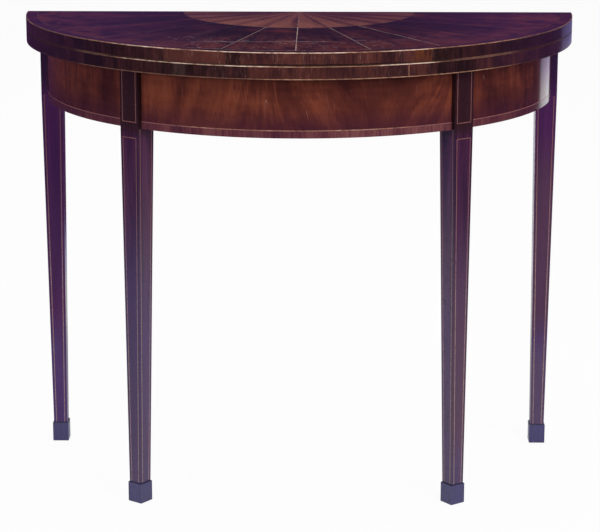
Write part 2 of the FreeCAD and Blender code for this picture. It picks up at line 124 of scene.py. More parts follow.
class FinishColours(bpy.types.PropertyGroup):
    """Colours of the woods, the cloth and the metals."""

    apron_dark: colour("Apron, dark", "3b1a1c", "Dark streaks in the apron's veneer")
    apron_body: colour("Apron", "5d2c24", "Body of the apron's veneer")
    apron_light: colour("Apron, light", "7e402e", "Bright flames in the apron's veneer")
    apron_foot: colour("Apron, foot", "3d1b30", "Apron's veneer just above the band")
    band_body: colour("Banding", "65353d", "Cross-grained band along the apron's foot")
    band_light: colour("Banding, light", "815150", "Light streaks and rubbed parts of the band")
    top_dark: colour("Top, dark", "1c121f", "Dark stripes in the radiating veneers")
    top_body: colour("Top", "411d2e", "Body of the radiating veneers")
    top_light: colour("Top, light", "6a3330", "Light stripes in the radiating veneers")
    edge_dark: colour("Edge, dark", "211214", "Darker pieces of the edge veneer")
    edge_body: colour("Edge", "3b1f22", "Body of the edge veneer")
    # Painted reflection: a lilac veil on the edge veneer towards the two ends of the leaves.
    edge_light: colour("Edge, light", "63352d", "Paler pieces of the edge veneer")
    edge_end: colour("Edge, ends", "301836", "Edge veneer towards the two ends of the leaves")
    edge_patch: colour("Edge patch", "5e3320", "Paler piece let into the upper edge")
    fan_pale: colour("Fan, pale", "955a4c", "Plain side of each flute")
    fan_scorched: colour("Fan, scorched", "48222f", "Side of each flute that hot sand has shaded")
    leg_dark: colour("Leg, dark", "2a1430", "Dark streaks in the legs")
    leg_body: colour("Leg", "441f3e", "Body of the legs")
    leg_light: colour("Leg, light", "572f4c", "Light streaks in the legs")
    # Painted light: the legs on the gates are lightened for the lamplight they lack.
    leg_rear: colour("Leg, rear", "592a6c", "Cast of the two legs on the gates")
    # Painted light: tinted lamplight low on the front legs' faces, violet on the left leg and rosy on the
    # right one.
    leg_violet: colour("Leg, violet", "3a2052", "Cast low on the face of the front left leg")
    leg_rosy: colour("Leg, rosy", "4e2838", "Cast low on the face of the front right leg")
    leg_brown: colour("Leg, brown", "563d4d", "Cast of the rear right leg")
    leg_grey: colour("Leg, grey", "5c4b66", "Foot of the rear right leg, the most scuffed")
    # Partly scuffs and partly a painted reflection of the pale floor on the lower legs.
    leg_rubbed: colour("Leg, rubbed", "544378", "Lower legs, scuffed and greyed")
    stile_body: colour("Stile", "2f1819", "Leg heads within the apron")
    foot_body: colour("Foot", "474273", "Stained blocks at the foot of each leg")
    # Pale and gold on the lines along the leaves are partly painted highlights.
    string_pale: colour("String, pale", "edcdb8", "Boxwood lines where they are rubbed clean")
    string_amber: colour("String, amber", "a2705c", "Boxwood lines under old polish")
    string_gold: colour("String, gold", "ab7d62", "Boxwood lines along the leaves, half clean")
    string_worn: colour("String, worn", "45272a", "Boxwood lines dark with grime")
    string_leg: colour("String, leg", "8c5a56", "Boxwood lines on the legs and the apron")
    string_grey: colour("String, grey", "a8908c", "Lines on the top where the polish has lifted")
    string_dark: colour("String, dark", "34202c", "Lines on the top that have all but sunk away")
    leaf_body: colour("Leaf wood", "472018", "Solid wood of the two leaves")
    border_body: colour("Playing border", "4b2219", "Border round the cloths")
    pine_body: colour("Pine", "8d6238", "Unpolished pine of the carcase")
    oak_body: colour("Oak", "6d4a2c", "Unpolished oak of the back rail")
    beech_body: colour("Beech", "8b5a36", "Unpolished beech of the gates")
    baize_body: colour("Baize", "24492f", "Cloth on the playing faces")
    baize_faded: colour("Baize, faded", "4c6440", "Cloth where it has faded and rubbed")
    brass_body: colour("Brass", "a07a3c", "Hinges")
    iron_body: colour("Iron", "3b3532", "Screws and pins")


class StudioSettings(bpy.types.PropertyGroup):
    """Camera, floor and lamps."""

    camera_place: FloatVectorProperty(
        name="Camera place",
        description="Where the camera stands",
        default=(0.0456, -3.59664, 1.2649),
        subtype="TRANSLATION",
        unit="LENGTH",
    )
    camera_yaw: angle("Camera yaw", -0.0114466, "Turn to the right of straight ahead")
    camera_pitch: angle("Camera pitch", 0.2450997, "Tilt below the horizon")
    camera_roll: angle("Camera roll", 0.001108, "Roll about the line of sight")
    lens: FloatProperty(name="Lens", description="Focal length in millimetres", default=136.646, min=1)
    floor_size: length("Floor size", 120.0, "Side of the floor")
    floor_colour: colour("Floor", "f8f8f8", "Plain pale floor")
    key_power: power("Key lamp", 56, "Power of the lamp at the right front")
    fill_power: power("Fill lamp", 20, "Power of the lamp at the left front")
    top_power: power("Top lamp", 16, "Power of the lamp overhead")
    back_power: power("Back lamp", 22, "Power of the lamp high at the back")
    roll_radius: length("Paper radius", 1.4, "Distance of the coloured paper round the table")
    roll_height: length("Paper height", 1.5, "Height of the coloured paper round the table")


def sizes():
    """The scene's pattern sizes."""
    return bpy.context.scene.card_table_sizes


def colours():
    """The scene's finish colours."""
    return bpy.context.scene.card_table_colours


def mixed(tint):
    """Red, green and blue of a colour, given by them or by its name among the finish colours."""
    return getattr(colours(), tint) if isinstance(tint, str) else tint[:3]


def studio():
    """The scene's studio settings."""
    return bpy.context.scene.card_table_studio


class Signal:
    """One output socket of a finish. Arithmetic on it adds Math nodes."""

    def __init__(self, finish, socket):
        self.finish = finish
        self.socket = socket

    def math(self, operation, *others):
        """A Math node with this signal first."""
        return self.finish.node("ShaderNodeMath", dict(enumerate((self, *others))), operation=operation)

    def __add__(self, other):
        return self.math("ADD", other)

    __radd__ = __add__

    def __sub__(self, other):
        return self.math("SUBTRACT", other)

    def __rsub__(self, other):
        return self.finish.node("ShaderNodeMath", {0: other, 1: self}, operation="SUBTRACT")

    def __mul__(self, other):
        return self.math("MULTIPLY", other)

    def __truediv__(self, other):
        return self.math("DIVIDE", other)

    def __abs__(self):
        return self.math("ABSOLUTE")

    def floor(self):
        """The whole number below."""
        return self.math("FLOOR")

    def fraction(self):
        """What is left above the whole number below."""
        return self.math("FRACT")

    def rise(self, start, end):
        """0 below start and 1 above end, eased between them. Start may be the larger."""
        return self.finish.node(
            "ShaderNodeMapRange",
            {"Value": self, "From Min": start, "From Max": end},
            interpolation_type="SMOOTHSTEP",
        )

    def band(self, middle, half_width, soft):
        """1 within half_width of middle, fading out over soft."""
        return abs(self - middle).rise(half_width + soft, half_width)

    def around(self, middle, half_width, soft):
        """1 within half_width of a bearing, fading out over soft, all in degrees."""
        return self.band(math.radians(middle), math.radians(half_width), math.radians(soft))

    def between(self, left, right):
        """1 between two bearings in degrees, fading out over four more."""
        return self.around((left + right) / 2, (right - left) / 2, 4)


class Finish:
    """The nodes of a material or a world, and the colour that a material has so far."""

    def __init__(self, holder):
        self.holder = holder
        holder.use_nodes = True
        self.tree = holder.node_tree
        self.tree.nodes.clear()
        self.tint = None

    @classmethod
    def named(cls, name):
        """A new material."""
        return cls(bpy.data.materials.new(name))

    def node(self, kind, inputs=(), output=0, stops=(), **settings):
        """Adds a node, with its settings first and then its inputs, and gives one output back."""
        made = self.tree.nodes.new(kind)
        for name, value in settings.items():
            setattr(made, name, value)
        if stops:
            while len(made.color_ramp.elements) < len(stops):
                made.color_ramp.elements.new(0.5)
            for element, (place, value) in zip(made.color_ramp.elements, stops):
                element.position = place
                element.color = (*mixed(value), 1)
        for key, value in dict(inputs).items():
            self.feed(made.inputs[key], value)
        return Signal(self, made.outputs[output]) if made.outputs else None

    def feed(self, socket, value):
        """Links a signal to a socket, or sets the socket's own value."""
        if isinstance(value, Signal):
            self.tree.links.new(value.socket, socket)
        elif socket.type == "RGBA":
            socket.default_value = (*mixed(value), 1)
        else:
            socket.default_value = value

    def place(self):
        """The signals x, y and z of a point on the piece, in metres."""
        spot = self.node("ShaderNodeTexCoord", output="Object")
        split = self.node("ShaderNodeSeparateXYZ", {"Vector": spot}).socket.node
        return tuple(Signal(self, socket) for socket in split.outputs)

    def round_table(self):
        """Bearing from the table's front in radians, distance from the hinge's middle, and height."""
        x, y, z = self.place()
        forward = CENTRE_Y - y
        bearing = x.math("ARCTAN2", forward)
        reach = (x * x + forward * forward).math("SQRT")
        return bearing, reach, z

    def noise(self, x, y, z, detail=2.0, rough=0.5, warp=0.0):
        """Soft noise from 0 to 1, one unit to a blot."""
        spot = self.node("ShaderNodeCombineXYZ", {0: x, 1: y, 2: z})
        inputs = {"Vector": spot, "Scale": 1.0, "Detail": detail, "Roughness": rough, "Distortion": warp}
        return self.node("ShaderNodeTexNoise", inputs)

    def chance(self, number):
        """An even random value from 0 to 1 for each whole number."""
        return self.node("ShaderNodeTexWhiteNoise", {"W": number}, noise_dimensions="1D")

    def mix(self, amount, under, over):
        """One colour laid over another."""
        return self.node("ShaderNodeMix", {0: amount, 6: under, 7: over}, output=2, data_type="RGBA")

    def lay(self, amount, over):
        """Lays a colour over the finish's own."""
        self.tint = self.mix(amount, self.tint, over)

    def ramp(self, amount, *stops):
        """A colour from a row of (place, colour) stops."""
        return self.node("ShaderNodeValToRGB", {"Fac": amount}, stops=stops)

    def bump(self, height, depth, strength):
        """A normal for a height from 0 to 1 that stands for depth in metres."""
        return self.node("ShaderNodeBump", {"Height": height, "Distance": depth, "Strength": strength})

    def surface(self, **inputs):
        """Ends the finish in one Principled shader. Input names use _ for a space."""
        named = {name.replace("_", " "): value for name, value in inputs.items()}
        shader = self.node("ShaderNodeBsdfPrincipled", named)
        self.node("ShaderNodeOutputMaterial", {"Surface": shader})
        return self.holder


class Wood:
    """Grain signals of one wood, laid along a direction of its piece."""

    def __init__(self, finish, along, across, depth):
        self.finish = finish
        self.along = along
        self.across = across
        self.depth = depth

    def streaks(self, long, wide, seed=0.0, detail=2.0, rough=0.5, warp=0.0):
        """Noise drawn out along the grain, long by wide in metres."""
        return self.finish.noise(
            self.along / long, self.across / wide, self.depth + seed, detail, rough, warp
        )

    def pores(self):
        """1 in the short dark pores, 0 between them."""
        fleck = self.streaks(sizes().pore_length, sizes().pore_width, seed=31.7, detail=1.0)
        return fleck.rise(0.6, 0.72)

    def hairlines(self, long, wide, seed, keep):
        """1 on a few thin pale scratches along the grain."""
        line = self.streaks(long * 8, wide, seed=seed, detail=0.0)
        patch = self.streaks(long, wide, seed=seed + 5.0, detail=1.0)
        return line.band(0.5, 0.002, 0.004) * patch.rise(keep, keep + 0.06)


def dress(material, *names):
    """Gives a finish to nodes of the model."""
    for name in names:
        frame["nodes"][name].material_slots[0].material = material


def stand(name, data):
    """A new object at the origin, made from a mesh, a lamp's or a camera's data."""
    made = bpy.data.objects.new(name, data)
    bpy.context.scene.collection.objects.link(made)
    return made


def stand_shape(name, shape):
    """A new object at the origin, made from a finished bmesh."""
    mesh = bpy.data.meshes.new(name)
    shape.to_mesh(mesh)
    shape.free()
    return stand(name, mesh)


PORE_TINT = (0.012, 0.004, 0.006)


def polished(finish, wood, gloss=0.15, specular=0.4, scuffs=0.0, ripples=0.35):
    """Closes a polished wood: pores darken and dent it, and the polish is uneven."""
    pores = wood.pores()
    cloudy = wood.streaks(0.05, 0.03, seed=71.0, detail=3.0)
    ripple = wood.streaks(0.03, 0.006, seed=83.0)
    return finish.surface(
        Base_Color=finish.mix(pores * 0.4, finish.tint, PORE_TINT),
        Roughness=gloss + (cloudy - 0.5) * 0.1 + pores * 0.1 + scuffs * 0.25,
        Normal=finish.bump((ripple - pores * 0.5) * ripples + 0.5, 0.0001, 0.5),
        Specular_IOR_Level=specular,
    )


class FinishTop(bpy.types.Operator):
    """Striped veneers that radiate from the middle of the hinge, each with its own tone"""

    bl_idname = "card_table.finish_top"
    bl_label = "Radiating top"

    tide_reach = 0.345
    scratch_tint = (0.3, 0.24, 0.27)

    def execute(self, context):
        finish = Finish.named("mahogany_top")
        bearing, reach, _ = finish.round_table()
        turn = sizes().wedge_angle
        number = (bearing / turn).floor()
        aside = bearing - (number + 0.5) * turn
        along = reach * aside.math("COSINE")
        across = reach * aside.math("SINE")
        tone = finish.chance(number + 0.5)
        wood = Wood(finish, along, across, number * 7.3)
        stripe = wood.streaks(0.3, sizes().stripe_width, detail=4.0, rough=0.62, warp=0.25)
        curl = wood.streaks(0.035, 0.045, seed=5.0, detail=4.0, rough=0.62, warp=0.6)
        fine = wood.streaks(0.09, 0.0022, seed=3.0)
        mottle = wood.streaks(0.07, 0.06, seed=9.0)
        figure = stripe * 0.4 + curl * 0.26 + fine * 0.16 + mottle * 0.18 + (tone - 0.5) * 0.06
        finish.tint = finish.ramp(figure, (0.42, "top_dark"), (0.51, "top_body"), (0.62, "top_light"))
        forward = reach * bearing.math("COSINE") + (curl - 0.5) * 0.03
        ruddy = forward.rise(self.tide_reach - 0.02, self.tide_reach + 0.02)
        outer = reach.rise(LEAF_RADIUS * 0.72, LEAF_RADIUS * 0.95)
        ruddy = ruddy.math("MAXIMUM", outer) * curl.rise(0.36, 0.6)
        finish.lay(ruddy * 0.7, "top_light")
        inky = reach.rise(LEAF_RADIUS * 0.85, FAN_RADIUS * 1.2) * mottle.rise(0.76, 0.42)
        finish.lay(inky * 0.85, "top_dark")
        cut = Wood(finish, across + along * 0.35, along - across * 0.35, 2.0)
        front = abs(bearing).rise(0.85, 0.3) * reach.rise(0.24, 0.36)
        scratch = cut.hairlines(0.03, 0.012, 17.0, 0.56) * (front * 0.8 + 0.2)
        rub = cut.streaks(0.014, 0.004, seed=40.0, detail=4.0, rough=0.7).rise(0.55, 0.66)
        tide = forward.band(self.tide_reach, 0.0015, 0.005) * bearing.band(-0.13, 0.24, 0.1)
        pale = scratch * 0.9 + rub * front * mottle.rise(0.38, 0.58) * 0.7
        pale = (pale + tide * rub.math("MAXIMUM", 0.4) * 0.8).math("MINIMUM", 1.0)
        finish.lay(pale * 0.75, self.scratch_tint)
        dress(polished(finish, wood, scuffs=pale), "radial_veneers")
        self.rim()
        return {"FINISHED"}

    def rim(self):
        """The border of the top, with its grain across it."""
        finish = Finish.named("mahogany_rim")
        bearing, reach, _ = finish.round_table()
        arc = bearing * LEAF_RADIUS
        wood = Wood(finish, reach, arc, 6.0)
        streak = wood.streaks(0.05, 0.004, detail=4.0, rough=0.65)
        broad = wood.streaks(0.1, 0.05, seed=3.0)
        figure = streak * 0.45 + broad * 0.55
        finish.tint = finish.ramp(figure, (0.36, "top_dark"), (0.5, "top_body"), (0.66, "top_light"))
        dress(polished(finish, wood), "upper_leaf_crossbanding")


class FinishFan(bpy.types.Operator):
    """Fan of flutes, each shaded in hot sand along one side"""

    bl_idname = "card_table.finish_fan"
    bl_label = "Shaded fan"

    def execute(self, context):
        finish = Finish.named("faded_mahogany")
        bearing, reach, _ = finish.round_table()
        turn = sizes().flute_angle
        number = (bearing / turn).floor()
        across_flute = (bearing / turn).fraction()
        aside = (across_flute - 0.5) * turn
        wood = Wood(finish, reach * aside.math("COSINE"), reach * aside.math("SINE"), number * 3.1)
        streak = wood.streaks(0.08, 0.004, detail=3.0, rough=0.6)
        mottle = wood.streaks(0.05, 0.04, seed=4.0)
        shading = across_flute.rise(0.45, 1.0) * 0.62 + (streak - 0.5) * 1.3 + (mottle - 0.5) * 0.5
        shading = shading + reach.rise(FAN_RADIUS * 0.95, FAN_RADIUS * 0.45) * 0.35
        shading = shading + abs(bearing + 0.15).rise(0.25, 1.2) * 0.5
        finish.tint = finish.mix(shading, "fan_pale", "fan_scorched")
        seam = abs(reach * bearing).rise(0.0011, 0.0006) * mottle.rise(0.3, 0.6)
        finish.lay(seam * 0.4, "string_grey")
        dress(polished(finish, wood, gloss=0.2), "fan_patera")
        return {"FINISHED"}


class FinishEdges(bpy.types.Operator):
    """Cross-grained veneers round the edges of the two leaves"""

    bl_idname = "card_table.finish_edges"
    bl_label = "Edge veneers"

    # Middle and half width in degrees, colour and its share, of three pieces that stand out.
    upper_pieces = (
        (-19.7, 6.2, "edge_light", 0.55),
        (-11.9, 1.3, "edge_dark", 0.75),
        (44.0, 17.0, "edge_dark", 0.55),
    )
    # Middle, half width and fade in degrees.
    gap = (6, 9, 9)
    patch = (24.8, 1.9, 0.0458)
    stain = (-22.5, 1.4, 0.6875)
    crack_bearing = math.radians(21.9)
    craze_tint = (0.34, 0.2, 0.17)
    stain_tint = (0.075, 0.05, 0.042)
    # Colour of the painted shadow of the gap between the leaves.
    gap_tint = (0.006, 0.003, 0.003)

    def execute(self, context):
        finish = Finish.named("mahogany_edge")
        bearing, reach, height = finish.round_table()
        arc = bearing * LEAF_RADIUS
        rim_depth = LEAF_RADIUS - reach
        upper = height.rise(LEAF_JOINT - 0.0002, LEAF_JOINT + 0.0002)
        uneven = finish.noise(arc / 0.06, upper * 3.0, 2.0) - 0.5
        number = ((arc + uneven * 0.05) / sizes().edge_piece + upper * 0.37).floor()
        tone = finish.chance(number + upper * 40.0 + 0.5)
        wood = Wood(finish, height + rim_depth, arc, number * 5.1)
        streak = wood.streaks(0.03, 0.005, detail=3.0, rough=0.55)
        broad = wood.streaks(0.05, 0.024, seed=2.0, detail=3.0)
        figure = streak * 0.38 + broad * 0.43 + tone * 0.19
        finish.tint = finish.ramp(figure, (0.37, "edge_dark"), (0.51, "edge_body"), (0.7, "edge_light"))
        lower = 1.0 - upper
        finish.lay(lower * 0.25, "edge_dark")
        for middle, half, tone_name, amount in self.upper_pieces:
            piece = bearing.around(middle, half, 0.1146) * upper
            finish.lay(piece * amount, tone_name)
        # Painted reflection: the edge veneer turns lilac towards the two ends of the leaves.
        finish.lay(abs(bearing).rise(0.5, 1.2) * 0.75, "edge_end")
        craze = wood.streaks(0.016, 0.0011, seed=20.0, detail=3.0, rough=0.7).rise(0.54, 0.7)
        blotch = wood.streaks(0.05, 0.05, seed=26.0, detail=3.0)
        rubbed = abs(bearing).rise(0.62, 0.3) * blotch.rise(0.46, 0.58)
        finish.lay(craze * rubbed * (upper * 0.26 + 0.24), self.craze_tint)
        patch = bearing.around(*self.patch) * upper
        patch = patch * height.rise(TOP_Z, TOP_Z - 0.001)
        finish.lay(patch * streak.rise(0.25, 0.6), "edge_patch")
        stain = bearing.around(*self.stain) * lower
        finish.lay(stain * streak.rise(0.3, 0.65) * 0.4, self.stain_tint)
        crack = bearing.band(self.crack_bearing + (streak - 0.5) * 0.004, 0.0012, 0.0006) * lower
        finish.lay(crack * 0.7, "string_amber")
        # Painted shadow of the gap between the leaves, on the upper edge just above the joint.
        gap = bearing.around(*self.gap) * upper
        gap = gap * height.rise(LEAF_JOINT + 0.0037, LEAF_JOINT + 0.0017)
        finish.lay(gap * 0.9, self.gap_tint)
        dress(polished(finish, wood), "upper_leaf_edge_veneer", "lower_leaf_edge_veneer")
        return {"FINISHED"}


class FinishApron(bpy.types.Operator):
    """Flame-figured veneer round the apron, with a cross-grained band along its foot"""

    bl_idname = "card_table.finish_apron"
    bl_label = "Apron"

    # Middle, half width and fade in degrees.
    rub = (21, 8, 8)
    plume = (16, 11.459, 14.324)
    glow = (-23, 8, 8)
    scratch_tint = (0.35, 0.22, 0.18)
    # Colour of the painted shade beside the front legs and under the leaves.
    corner_tint = (0.01, 0.004, 0.005)

    def veneer(self):
        """The three panels: flames that lean, a plume right of the middle, painted shade by the legs and
        under the leaves.
        """
        finish = Finish.named("mahogany_apron")
        bearing, _, height = finish.round_table()
        arc = bearing * APRON_RADIUS
        rise = height - APRON_BOTTOM
        sway = finish.noise(arc / 0.28, 3.0, 1.0, detail=0.0) - 0.5
        middle = abs(bearing).rise(LEG_BEARING + 0.02, LEG_BEARING - 0.02)
        plume = bearing.around(*self.plume) * middle
        lean = sway * (middle * 1.4 + 0.6) + (math.radians(self.plume[0]) - bearing) * plume * 2.5
        feather = Wood(finish, rise, arc + rise * lean, 1.0)
        flame = feather.streaks(0.15, sizes().flame_width, warp=0.9)
        ribbon = feather.streaks(0.1, 0.012, seed=6.0, detail=3.0, rough=0.6, warp=0.4)
        wood = Wood(finish, rise, arc + rise * 0.15, 1.0)
        fine = wood.streaks(0.05, 0.0014, seed=12.0)
        roll = wood.streaks(0.01, 0.035, seed=15.0)
        cloud = finish.noise(arc / 0.09, rise / 0.07, 8.0, 3.0)
        figure = flame * 0.35 + ribbon * 0.19 + fine * 0.15 + roll * 0.11 + cloud * 0.2
        glow = bearing.around(*self.glow) * 0.045
        figure = 0.488 + (figure - 0.5) * (middle * 0.05 + 0.95) + glow
        finish.tint = finish.ramp(figure, (0.38, "apron_dark"), (0.5, "apron_body"), (0.61, "apron_light"))
        scratch = Wood(finish, rise, arc + rise * 0.12, 4.0).hairlines(0.035, 0.016, 21.0, 0.6)
        finish.lay(scratch * 0.3, self.scratch_tint)
        finish.lay(rise.rise(0.052, 0.011) * 0.58, "apron_foot")
        # Painted shade: the apron darkens beside the front legs and under the overhang of the leaves.
        beside_leg = abs(abs(bearing) - LEG_BEARING) * APRON_RADIUS
        shade_under_leaf = height.rise(LEAF_FOOT - 0.012, LEAF_FOOT - 0.002)
        painted_corner_shade = beside_leg.rise(0.021, 0.0188).math("MAXIMUM", shade_under_leaf)
        finish.lay(painted_corner_shade * 0.6, self.corner_tint)
        names = ("apron_veneer_left", "apron_veneer_centre", "apron_veneer_right")
        dress(polished(finish, wood, gloss=0.12, scuffs=scratch, ripples=0.15), *names)

    def banding(self):
        """The band along the foot, rubbed right of the middle."""
        finish = Finish.named("mahogany_banding")
        bearing, _, height = finish.round_table()
        arc = bearing * APRON_RADIUS
        wood = Wood(finish, height, arc, 3.0)
        streak = wood.streaks(0.05, 0.004, detail=4.0, rough=0.65)
        broad = wood.streaks(0.3, 0.05, seed=5.0)
        figure = streak * 0.5 + broad * 0.5
        finish.tint = finish.ramp(figure, (0.34, "apron_foot"), (0.52, "band_body"), (0.72, "band_light"))
        rubbed = bearing.around(*self.rub) * figure.rise(0.38, 0.6)
        finish.lay(rubbed * 0.7, "band_light")
        finish.lay(abs(bearing).rise(LEG_BEARING, 1.2) * 0.6, "apron_foot")
        dress(polished(finish, wood), "apron_banding")

    def execute(self, context):
        self.veneer()
        self.banding()
        return {"FINISHED"}


class FinishLegs(bpy.types.Operator):
    """Dark straight-grained legs and their stained block feet"""

    bl_idname = "card_table.finish_legs"
    bl_label = "Legs and feet"

    # Heights between which a change in colour comes in.
    front_scuffed = (0.5, 0.28)
    front_cast = (0.05, 0.14)
    rear_scuffed = (0.25, 0.15)
    rear_greyed = (0.2, 0.13)
    rear_browned = (0.58, 0.45)
    rear_shaded = (0.61, 0.65)
    # Colour of the painted shade on the rear legs' heads beside the apron.
    head_tint = (0.016, 0.014, 0.034)
    # Colour of the painted shade on the proud side faces of the leg heads.
    flank_tint = (0.006, 0.003, 0.004)
    foot_streak_tint = (0.04, 0.03, 0.075)
    foot_knock_tint = (0.16, 0.13, 0.18)
    # Colour of the painted shadow line round the top of each foot.
    foot_seam_tint = (0.012, 0.008, 0.02)

    def grain(self, finish):
        """The wood along the length of a leg, which also gives the finish its colour."""
        x, y, height = finish.place()
        wander = finish.noise(x / 0.1, y / 0.1, height / 0.25) * 0.02
        wood = Wood(finish, height, x + y * 0.83 + wander, (x - y) * 60.0)
        broad = wood.streaks(0.28, 0.01, detail=3.0, rough=0.6, warp=0.2)
        fine = wood.streaks(0.1, 0.0018, seed=4.0)
        figure = broad * 0.68 + fine * 0.32
        finish.tint = finish.ramp(figure, (0.36, "leg_dark"), (0.5, "leg_body"), (0.66, "leg_light"))
        return wood

    def worn(self, finish, heights, most):
        """Greys the colour between two heights, down towards the floor, and says how far: partly scuffs,
        partly a painted reflection of the pale floor.
        """
        x, y, height = finish.place()
        scuffs = finish.noise(x / 0.02, y / 0.02, height / 0.06, 3.0, 0.6)
        rubbed = height.rise(*heights) * (most + (scuffs - 0.5) * 0.5)
        # Scuffs, and a painted reflection of the pale floor, grey the lower legs.
        finish.lay(rubbed, "leg_rubbed")
        return rubbed

    def front_legs(self):
        """Front legs: dark at the arrises, with painted lamplight low on the faces: violet on the left
        leg, rosy on the right one.
        """
        finish = Finish.named("mahogany_leg")
        wood = self.grain(finish)
        bearing, reach, height = finish.round_table()
        aside = abs(bearing) - LEG_BEARING
        across = abs(reach * aside.math("SINE"))
        depth = LEG_FACE - reach * aside.math("COSINE")
        taper = (height - FOOT_TOP) / (APRON_BOTTOM - FOOT_TOP)
        foot, head = sizes().leg_foot, sizes().leg_head
        half = (taper.math("MINIMUM", 1.0) * (head - foot) + foot) / 2
        arris = (half - across).rise(0.005, 0.004) * depth.rise(0.005, 0.004)
        finish.lay(arris * 0.55, "leg_dark")
        rubbed = self.worn(finish, self.front_scuffed, 0.45)
        finish.lay(arris * rubbed * 0.6, "leg_dark")
        # Painted light: violet on the left leg's face and rosy on the right one stand in for tinted
        # lamplight.
        cast = finish.mix(bearing.rise(-0.2, 0.2), "leg_violet", "leg_rosy")
        face = depth.rise(0.004, 0.002) * rubbed * height.rise(*self.front_cast)
        finish.lay(face * 1.2, cast)
        stile = height.rise(APRON_BOTTOM - 0.02, APRON_BOTTOM + 0.006)
        finish.lay(stile * 0.85, "stile_body")
        # Painted shade on the side faces of the leg heads, where they stand proud of the apron.
        shaded_flank = across.rise(0.0178, 0.0182) * stile
        finish.lay(shaded_flank * 0.45, self.flank_tint)
        material = polished(finish, wood, gloss=0.2, scuffs=rubbed)
        dress(material, "front_leg_left", "front_leg_right")

    def rear_legs(self):
        """Rear legs: duller, lightened as painted light, the right one browner, and both with painted
        shade beside the apron.
        """
        finish = Finish.named("mahogany_rear_leg")
        wood = self.grain(finish)
        x, _, height = finish.place()
        right = x.rise(-0.1, 0.1)
        # Painted light: the rear legs are lightened all over for the lamplight they lack.
        finish.lay(0.45, "leg_rear")
        finish.lay(right * height.rise(*self.rear_browned) * 0.6, "leg_brown")
        # Painted shade on the rear legs' heads beside the apron.
        finish.lay(height.rise(*self.rear_shaded) * 0.5, self.head_tint)
        rubbed = self.worn(finish, self.rear_scuffed, 0.65)
        finish.lay(right * height.rise(*self.rear_greyed) * 0.8, "leg_grey")
        material = polished(finish, wood, gloss=0.2, specular=0.12, scuffs=rubbed)
        dress(material, "rear_leg_left", "rear_leg_right")

    def feet(self):
        """Stained blocks, knocked pale in places, with a painted shadow line under the leg."""
        finish = Finish.named("dark_foot")
        x, y, height = finish.place()
        wood = Wood(finish, height, x + y * 0.83, (x - y) * 50.0)
        streak = wood.streaks(0.08, 0.003, detail=4.0, rough=0.6)
        knocks = finish.noise(x / 0.006, y / 0.006, height / 0.006, 3.0)
        finish.tint = finish.mix(streak.rise(0.35, 0.65) * 0.4, "foot_body", self.foot_streak_tint)
        finish.lay(knocks.rise(0.62, 0.72) * 0.3, self.foot_knock_tint)
        # Painted shadow: a dark line round the top of the foot, under the leg.
        seam = height.rise(FOOT_TOP - 0.0026, FOOT_TOP - 0.0012)
        finish.lay(seam * 0.7, self.foot_seam_tint)
        dress(polished(finish, wood, gloss=0.35, scuffs=knocks * 0.5), *SLOTS["dark_foot"])

    def execute(self, context):
        self.front_legs()
        self.rear_legs()
        self.feet()
        return {"FINISHED"}


